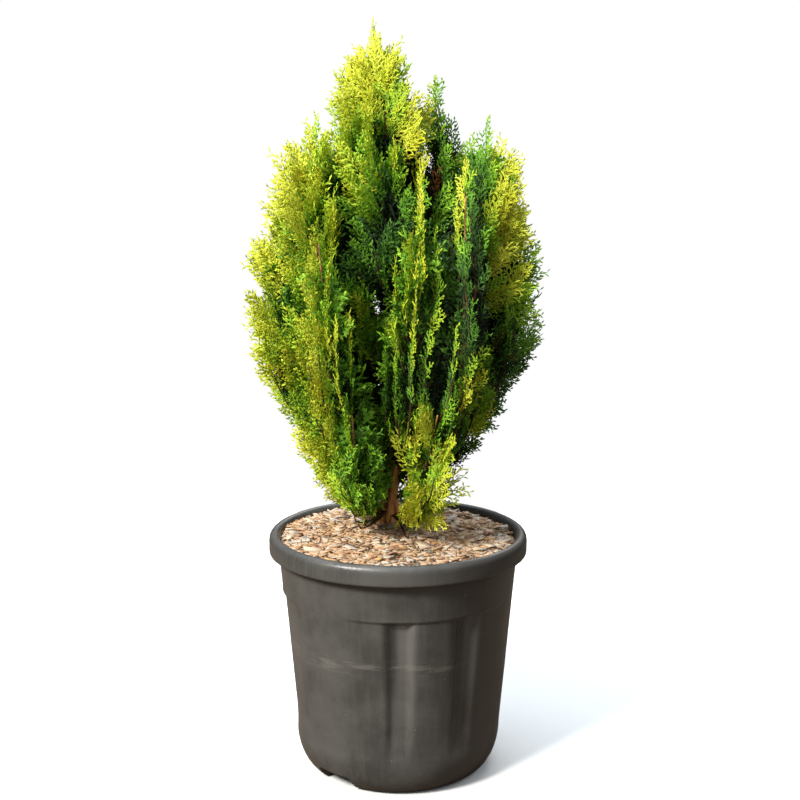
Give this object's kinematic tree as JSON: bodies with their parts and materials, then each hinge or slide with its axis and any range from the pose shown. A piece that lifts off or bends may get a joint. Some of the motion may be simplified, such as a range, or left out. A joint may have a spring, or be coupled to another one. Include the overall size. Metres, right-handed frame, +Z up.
{
  "type": "potted thuja",
  "caption": "Young golden oriental thuja: a flame-shaped crown of upright flat foliage sprays on boughs from one short trunk, in a round rimmed nursery pot with mulch.",
  "frame": {"origin": "on the ground under the centre of the pot", "axes": "+Z up the plant, -Y towards the front, +X to the right seen from the front"},
  "size_m": [0.3792, 0.344, 0.967],
  "materials": {
    "pot": "black moulded plastic, satin, lightly dusty",
    "mulch": "dry chipped bark and wood",
    "bark": "fibrous red-brown bark",
    "foliage_gold": "golden yellow-green scale leaves",
    "foliage_green": "fresh green scale leaves",
    "foliage_deep": "deep green scale leaves"
  },
  "bodies": {
    "root": {"pot": "pot", "mulch_and_soil": "mulch", "trunk": "bark", "bough_to_second_plume": "bark", "bough_to_right_upper_lobe": "bark", "bough_to_left_upper_plume": "bark", "bough_to_right_mid_mass": "bark", "bough_to_left_outer_mass": "bark", "bough_to_front_centre_plume": "bark", "bough_to_front_left_plume": "bark", "bough_to_front_right_plume": "bark", "bough_to_back_left_mass": "bark", "bough_to_back_mass": "bark", "bough_to_back_right_mass": "bark", "bough_to_right_low_mass": "bark", "bough_to_left_low_mass": "bark", "bough_to_front_low_right_fans": "bark", "bough_to_front_low_left_fans": "bark", "bough_to_back_low_mass": "bark", "leader_plume": "foliage_gold", "second_plume": "foliage_deep", "right_upper_lobe": "foliage_gold", "left_upper_plume": "foliage_gold", "right_mid_mass": "foliage_deep", "left_outer_mass": "foliage_gold", "front_centre_plume": "foliage_green", "front_left_plume": "foliage_green", "front_right_plume": "foliage_green", "back_left_mass": "foliage_green", "back_mass": "foliage_green", "back_right_mass": "foliage_green", "right_low_mass": "foliage_deep", "left_low_mass": "foliage_green", "front_low_right_fans": "foliage_green", "front_low_left_fans": "foliage_green", "back_low_mass": "foliage_deep"}
  },
  "joints": []
}
